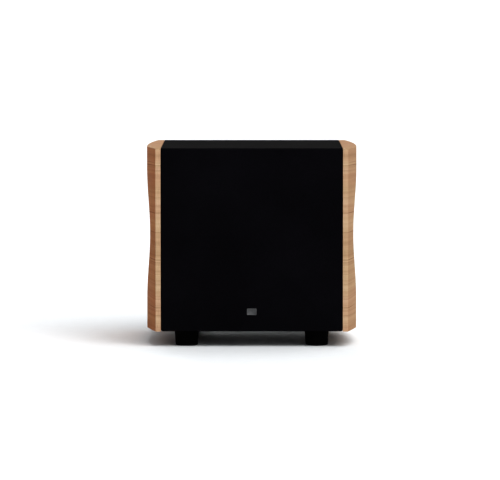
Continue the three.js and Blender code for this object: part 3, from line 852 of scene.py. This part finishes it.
def build_motor():
    """The magnet between its front plate and the pole's back plate."""
    plate = ring_profile(29.4, 62, 74.3, 82.3)
    driver_part("top_plate_ring", plate, "steel", "magnet_steel", "top_plate", rounding=0.8)
    magnet = ring_profile(34, 70, 82.6, 108.6)
    driver_part("magnet_ring", magnet, "ferrite", "ferrite", "magnet", rounding=1.6)
    yoke = [(9, 74.3), (24.8, 74.3), (24.8, 108.9), (60, 108.9), (60, 116.9), (9, 116.9)]
    driver_part("pole_and_plate", yoke, "steel", "magnet_steel", "pole_yoke", rounding=1.0)


def build_terminals():
    """The block under the basket that the lead's two ends push on to."""
    moulding = [block(DRIVER, (-14, 50, -98), (14, 66, -90))]
    assembled("terminal_moulding", moulding, "plastic", ["terminal_block"],
              rounding=0.8)
    tabs = [block(DRIVER, (x - 2.4, 64, -95), (x + 2.4, 74, -94)) for x in (-8, 8)]
    assembled("terminal_tabs", tabs, "nickel", rounding=0.2)


def catmull_rom(points, steps):
    """A centripetal Catmull-Rom curve through the points."""
    points = [Vector(p) for p in points]
    points = [points[0] * 2 - points[1]] + points + [points[-1] * 2 - points[-2]]
    line = []
    for p0, p1, p2, p3 in zip(points, points[1:], points[2:], points[3:]):
        t1 = (p1 - p0).length ** 0.5
        t2 = t1 + (p2 - p1).length ** 0.5
        t3 = t2 + (p3 - p2).length ** 0.5
        for step in range(steps):
            t = t1 + (t2 - t1) * step / steps
            a = p0.lerp(p1, t / t1)
            b = p1.lerp(p2, (t - t1) / (t2 - t1))
            c = p2.lerp(p3, (t - t2) / (t3 - t2))
            ab = a.lerp(b, t / t2)
            bc = b.lerp(c, (t - t1) / (t3 - t1))
            line.append(ab.lerp(bc, (t - t1) / (t2 - t1)))
    return line + [points[-2]]


LEAD_R = 2.6  # mm
LEAD_STEPS = 8  # from each point of its route to the next


def build_lead():
    """The lead inside the box, from the amplifier's board to the driver's terminals."""
    route = [(60, 337, 196), (60, 312, 185), (63, 284, 159), (67, 250, 134), (66, 215, 118),
             (55, 178, 108), (35, 143, 104), (14, 115, 107), (0, 92, 111.8)]
    start = Vector((0, FRONT_Y, 0))
    line = catmull_rom([start + Vector(point) * MM for point in route], LEAD_STEPS)
    data = bpy.data.curves.new("amplifier_lead", "CURVE")
    data.dimensions = "3D"
    data.bevel_depth = LEAD_R * MM
    data.bevel_resolution = 4
    data.use_fill_caps = True
    spline = data.splines.new("POLY")
    spline.points.add(len(line) - 1)
    for point, spot in zip(spline.points, line):
        point.co = (*spot, 1)
    data.materials.append(MATERIALS["sheath"])
    lead = bpy.data.objects.new("amplifier_lead", data)
    bpy.context.scene.collection.objects.link(lead)
    place(lead, "root", ["speaker_lead"])


build_basket()
build_surround()
build_spider()
build_moving_parts()
build_motor()
build_terminals()
build_lead()

# ---- amplifier ----

AMP = Vector((MIDDLE.x, PLATE_Y, MIDDLE.z))
PRINT_NEAR = 0.02  # how far the print's two faces stand off the plate, in mm
PRINT_FAR = 0.1
KNOB_RIBS = 32
RIB_DEPTH = 0.35
SLOT_MIDDLE = Vector((2.5 * MM, 0, 0))  # from a slider at rest to the middle of its slot
TICK_R = (12.4, 14.6, 15.6)  # of a dial tick's inner end, and a short and a long one's outer end


def on_plate(node):
    """The spot on the plate's outer face that is in line with a fitting."""
    middle = centre(node)
    return Vector((middle.x, PLATE_Y, middle.z))


def bar(spot, start, end, width, near=PRINT_NEAR, far=PRINT_FAR):
    """A straight bar flat on the plate, in mm: ends as (x, z) from a spot, then its faces' heights."""
    (x0, z0), (x1, z1) = start, end
    length = math.hypot(x1 - x0, z1 - z0)
    nx, nz = -(z1 - z0) / length * width / 2, (x1 - x0) / length * width / 2
    corners = [(x0 + nx, z0 + nz), (x0 - nx, z0 - nz), (x1 - nx, z1 - nz), (x1 + nx, z1 + nz)]
    verts = [spot + Vector((x, y, z)) * MM for y in (near, far) for x, z in corners]
    sides = [(i, (i + 1) % 4, (i + 1) % 4 + 4, i + 4) for i in range(4)]
    return verts, [(0, 1, 2, 3), (7, 6, 5, 4)] + sides


def build_knob(name):
    """A ribbed knob on a wide skirt, with a pointer across its top and down its side."""
    spot = on_plate(name)

    def rib(angle, r, height):
        grip = 4.3 < height < 13.3 and r > 8.5
        return r - RIB_DEPTH * abs(math.sin(angle * KNOB_RIBS / 2)) if grip else r

    profile = [(0, -15), (3, -15), (3, 0.7), (10.7, 0.7), (11, 1.0), (11, 2.7), (10.7, 3.0),
               (9.9, 3.3), (9.7, 4.2), (9.6, 4.6), (9.4, 9), (9.25, 12.8), (9.0, 13.4),
               (8.4, 13.9), (7.8, 14.05), (7.2, 13.8), (0, 13.7)]
    turned(name + "_fluted", profile, "knob", spot, "knob_plastic", [name], name, segments=192,
           ripple=rib)
    pointer = [bar(spot, (0, 2.4), (0, 8.6), 1.5, 13.5, 14.3),
               bar(spot, (0, 8.4), (0, 10.0), 1.5, 5.0, 14.0)]
    assembled(name + "_pointer", pointer, "print", body=name, rounding=0.2)


def build_dial_marks():
    """Ticks round the knobs and over the sliders, rings round the jacks, rules between groups."""
    marks = []
    for knob in ("level_knob", "crossover_knob"):
        spot = on_plate(knob)
        for step in range(11):
            a = math.radians(240 - 30 * step)
            reach = TICK_R[2] if step % 5 == 0 else TICK_R[1]
            start, end = ((math.cos(a) * r, math.sin(a) * r) for r in (TICK_R[0], reach))
            marks.append(bar(spot, start, end, 0.55))
    for z in (27, -26, -66):
        marks.append(bar(AMP, (-90, z), (90, z), 0.4))
    for node in ("phase_switch", "auto_switch"):
        for x in (-2.5, 2.5):
            marks.append(bar(on_plate(node) + SLOT_MIDDLE, (x, 3.4), (x, 5.0), 0.45))
    for node in ("line_jack_left", "line_jack_right"):
        profile = ring_profile(7.8, 8.2, PRINT_NEAR, PRINT_FAR)
        marks.append(lathe_mesh(profile, 64, on_plate(node), "Y"))
    assembled("dial_marks", marks, "print")


def build_jack(name, colour):
    """A line jack: a hexagonal nut, a ridged shell and the coloured insert inside it."""
    spot = on_plate(name)

    def nut(angle, r, height):
        return hexagonal(angle, r, NUT_SHARE) if r > 6 and 0.2 < height < 2.7 else r

    ridges = [(4.15 - 0.12 * (step % 2), 9.6 - step * 0.35) for step in range(18)]
    shell = [(0, -14), (5, -14), (5, 0.3), (6.4, 0.3), (6.4, 2.2), (5.9, 2.6), (4.1, 2.6),
             *reversed(ridges), (4.15, 10.6), (3.95, 11), (3.6, 11), (3.4, 10.4), (3.4, 1), (0, 1)]
    turned(name + "_shell", shell, "nickel", spot, "jack_metal", [name], segments=60, ripple=nut)
    tube = [(1.7, 1.2), (3.35, 1.2), (3.35, 10.2), (1.9, 10.2), (1.7, 10)]
    turned(name + "_insert", tube, colour, spot, "fitting_plastic", segments=48)


def build_led():
    """The power light's domed lens, in its bezel."""
    spot = on_plate("power_led")
    dome = [(1.6 * math.cos(a), 0.5 + 1.1 * math.sin(a)) for a in (0.2, 0.45, 0.7, 0.95, 1.2, 1.4)]
    lens = [(0, -6), (1.6, -6), (1.6, 0.5), *dome, (0, 1.6)]
    turned("power_led_lens", lens, "lens", spot, "led_lens", ["power_led"], segments=40)
    bezel = [(1.75, 0.05), (3.1, 0.05), (3.1, 0.5), (2.8, 0.8), (2.1, 0.8), (1.75, 0.5)]
    turned("power_led_bezel", bezel, "plastic", spot, "fitting_plastic", segments=40)


def build_switch_cases():
    """What is seen through the slots behind the two sliders."""
    for node in ("phase_switch", "auto_switch"):
        case = block(on_plate(node) + SLOT_MIDDLE, (-7, -13, -4.5), (7, -6.4, 4.5))
        assembled(node + "_case", [case], "plastic", rounding=0.5)


def build_inlet_pins():
    """The three flat pins in the mains inlet, rounded at their tips."""
    spot = on_plate("mains_inlet")
    pins = [block(spot, (x - 1.1, -15.8, z - 2.1), (x + 1.1, -1.6, z + 2.1))
            for x, z in ((-7, 9), (7, 9), (0, 13))]
    assembled("inlet_pins", pins, "nickel", rounding=0.45, segments=3)


def build_rocker_marks():
    """The bar and the ring on the switch's two halves."""
    spot = on_plate("switch_housing")
    tilt = Matrix.Rotation(math.radians(-11), 4, "X")  # the rocker's, when it is off
    lean = math.atan2(1.8, 8.4)  # of each half, from the rocker's own plane
    ridge = Matrix.Translation(Vector((0, 0.4, 0)) * MM)
    upper = ridge @ Matrix.Rotation(-lean, 4, "X")
    lower = ridge @ Matrix.Rotation(lean, 4, "X")
    drop = Vector((0, 0, -5 * MM))
    bar_verts, bar_faces = bar(Vector((0, 0, 0)), (0, 3.4), (0, 6.4), 0.6, -0.05, 0.12)
    ring_verts, ring_faces = lathe_mesh(ring_profile(1.2, 1.75, 0, 0.15), 40, (0, 0, 0), "Y")
    shells = [
        ([spot + tilt @ upper @ v for v in bar_verts], bar_faces),
        ([spot + tilt @ lower @ (v + drop) for v in ring_verts], ring_faces),
    ]
    assembled("rocker_marks", shells, "print", body="power_rocker")


def build_plate_screws():
    """Four screws down each side of the plate and one in the middle of its top and bottom."""
    spots = [(x, z) for x in (-98, 98) for z in (-128, -43, 43, 128)] + [(0, -128), (0, 128)]
    heads = [screw_head(AMP + Vector((x, 0, z)) * MM, 3.6, 2.0, 1) for x, z in spots]
    assembled("plate_screws", heads, "screw")


def build_capacitors():
    """Two sleeved cans, each with the groove pressed in near its end."""
    can = [(0, -35.4), (14.4, -35.4), (15, -36), (15, -37.6), (14.1, -38.8), (14.1, -39.6),
           (15, -40.8), (15, -74.2), (14.6, -75), (13, -75), (12.8, -74.6), (0, -74.6)]
    for name in ("capacitor_1", "capacitor_2"):
        turned(name + "_can", can, "sleeve", on_plate(name), "capacitor_sleeve", [name], segments=64)


def build_transformer():
    """A taped ring winding on the cabinet's floor, held down by a dished washer and a nut."""
    low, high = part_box("transformer")
    seat = Vector(((low.x + high.x) / 2, (low.y + high.y) / 2, low.z))
    inner_r, outer_r, low_z, high_z, corner_r = 24, 39, 9, 33, 9
    section = [*arc(inner_r, low_z, corner_r, 270, 180, 6), *arc(inner_r, high_z, corner_r, 180, 90, 6),
               *arc(outer_r, high_z, corner_r, 90, 0, 6), *arc(outer_r, low_z, corner_r, 0, -90, 6)]

    def lap(angle, r, _):
        return r - 0.35 * abs(math.sin(angle * 24)) if r > 30 else r

    turned("toroid_winding", section, "tape", seat, "transformer_tape", ["transformer"], axis="Z",
           segments=144, ripple=lap)

    def nut(angle, r, _):
        return hexagonal(angle, r, NUT_SHARE) if 7 < r < 8.5 else r

    clamp = [(0, 0.4), (3, 0.4), (3, 42.3), (29, 42.4), (30, 42.8), (30, 43.6), (14, 45), (8, 45),
             (8, 50), (7.2, 50.7), (0, 50.7)]
    turned("toroid_clamp", clamp, "steel", seat, "magnet_steel", axis="Z", segments=60, ripple=nut)


build_knob("level_knob")
build_knob("crossover_knob")
build_dial_marks()
build_jack("line_jack_left", "white")
build_jack("line_jack_right", "red")
build_led()
build_switch_cases()
build_inlet_pins()
build_rocker_marks()
build_plate_screws()
build_capacitors()
build_transformer()

# ---- feet ----


def build_feet():
    """Four tapered feet, each with a rubber sole that is dished in the middle."""
    body = [(0, 4.3), (21.2, 4.3), (21.7, 4.8), (23.2, 28.3), (23.2, 29.0), (22.7, 29.4), (0, 29.4)]
    sole = [(0, 1), (9, 1), (9.4, 0), (19.5, 0), (20.5, 0.4), (21.3, 1.4), (21.5, 3.9), (0, 3.9)]
    for row in ("front", "rear"):
        for side in ("left", "right"):
            foot, pad = f"foot_{row}_{side}", f"foot_pad_{row}_{side}"
            middle = centre(foot)
            spot = Vector((middle.x, middle.y, 0))
            turned(foot + "_moulding", body, "foot", spot, "foot_plastic", [foot], axis="Z")
            turned(pad + "_sole", sole, "rubber", spot, "rubber", [pad], axis="Z")


build_feet()

# ---- CAD parts that keep their shape ----

KEPT = {  # each with its material and the rounding of its edges in mm
    "top_panel": ("lid", 1.0), "bottom_panel": ("paint", 1.0), "rear_panel": ("paint", 1.0),
    "front_baffle": ("paint", 0.8), "left_wall": ("paint", 0.5), "right_wall": ("paint", 0.5),
    "window_brace": ("board", 0.6), "grille_frame": ("frame", 0.8), "amp_plate": ("coat", 0.5),
    "heat_sink": ("anodised", 0.35), "level_pot": ("steel", 0.3), "crossover_pot": ("steel", 0.3),
    "phase_switch": ("knob", 0.25), "auto_switch": ("knob", 0.25), "mains_inlet": ("plastic", 0.45),
    "fuse_drawer": ("plastic", 0.35), "switch_housing": ("plastic", 0.5), "power_rocker": ("knob", 0.5),
    "circuit_board": ("laminate", 0.2),
}


def finish_kept(node, material, rounding):
    """Gives a CAD part its material and rounded edges; its vertices stay where they are."""
    obj = NODES[node]
    obj.data.materials.clear()
    obj.data.materials.append(MATERIALS[material])
    custom = obj.data.attributes.get("custom_normal")
    if custom:
        obj.data.attributes.remove(custom)
    obj.data.shade_smooth()
    weld = obj.modifiers.new("joined corners", "WELD")
    weld.merge_threshold = 0.01 * MM
    flat = obj.modifiers.new("flat faces joined", "DECIMATE")
    flat.decimate_type = "DISSOLVE"
    flat.angle_limit = math.radians(1)
    soften(obj, rounding)


for kept_node, (kept_material, kept_rounding) in KEPT.items():
    finish_kept(kept_node, kept_material, kept_rounding)

# ---- stage ----

STUDIO_R = 24  # of the round floor and the backdrop at its edge, in metres
STUDIO_SIDES = 64
BACKDROP_H = 10
WORLD_COLOUR = (0.94, 1, 1.05, 1)
WORLD_STRENGTH = 0.22
LENS = 289.7
SENSOR_W = 36
CLIP_END = 100
CAMERA_SPOT = Vector((0, FRONT_Y - 7.724, 0.744))
CAMERA_AIM = Vector((-0.0033, FRONT_Y, 0.2068))


def build_stage():
    """A pale round floor, a white backdrop round it that only the camera sees, and broad lights."""
    angles = [TURN * i / STUDIO_SIDES for i in range(STUDIO_SIDES)]
    rim = [(STUDIO_R * math.cos(a), STUDIO_R * math.sin(a)) for a in angles]
    verts, faces, ends = loft([[(x, y, z) for x, y in rim] for z in (0, BACKDROP_H)])
    floor = new_object("floor", verts[:STUDIO_SIDES], ends[:1], stage_material())
    backdrop = new_object("backdrop", verts, faces, backdrop_material())
    for rays in ("visible_diffuse", "visible_glossy", "visible_shadow", "visible_transmission"):
        setattr(backdrop, rays, False)
    world = bpy.data.worlds.new("studio")
    bpy.context.scene.world = world
    world.use_nodes = True
    background = world.node_tree.nodes["Background"]
    background.inputs["Color"].default_value = WORLD_COLOUR
    background.inputs["Strength"].default_value = WORLD_STRENGTH
    lamp("key", 1.45, (0.45, -0.55, 1.0), angle=55)
    lamp("front", 0.50, (0.75, -0.9, 0.5), angle=30)
    lamp("low_front", 0.20, (0.1, -1.0, 0.15), angle=30)
    lamp("rear_top", 0.66, (0.25, 0.6, 1.0), angle=50)
    lamp("rear_low", 1.5, (-0.2, 1.0, 0.16), angle=20, gloss=False)


def backdrop_material():
    """Plain white light, with no shading of its own."""
    return Shader("white_backdrop", Base_Color=(0, 0, 0, 1), Emission_Color=(1, 1, 1, 1),
                  Emission_Strength=1.0).material


def stage_material():
    """A matt, nearly white floor with a faint speckle."""
    shader = Shader("pale_floor", Specular_IOR_Level=0.0, Roughness=1.0)
    speckle = shader.noise(shader.place_at(), 40, detail=2)
    shader.colour(shader.ramp(speckle, [(0.3, (0.876, 0.883, 0.888)), (0.7, (0.896, 0.903, 0.908))]))
    return shader.material


def lamp(name, energy, direction, angle, gloss=True):
    """A broad light shining from a direction, its width as an angle in degrees."""
    data = bpy.data.lights.new(name, "SUN")
    data.energy = energy
    data.angle = math.radians(angle)
    obj = bpy.data.objects.new(name, data)
    obj.rotation_euler = Vector(direction).to_track_quat("Z", "Y").to_euler()
    obj.location = Vector(direction) * 4
    obj.visible_glossy = gloss
    bpy.context.scene.collection.objects.link(obj)


def build_camera():
    """A long lens from far in front, a little above the top of the cabinet."""
    data = bpy.data.cameras.new("camera")
    data.lens = LENS
    data.sensor_width = SENSOR_W
    data.clip_end = CLIP_END
    camera = bpy.data.objects.new("camera", data)
    camera.location = CAMERA_SPOT
    camera.rotation_euler = (CAMERA_AIM - CAMERA_SPOT).to_track_quat("-Z", "Y").to_euler()
    bpy.context.scene.collection.objects.link(camera)
    bpy.context.scene.camera = camera


bpy.context.scene.view_settings.view_transform = "Standard"
bpy.context.scene.view_settings.look = "High Contrast"
build_stage()
build_camera()
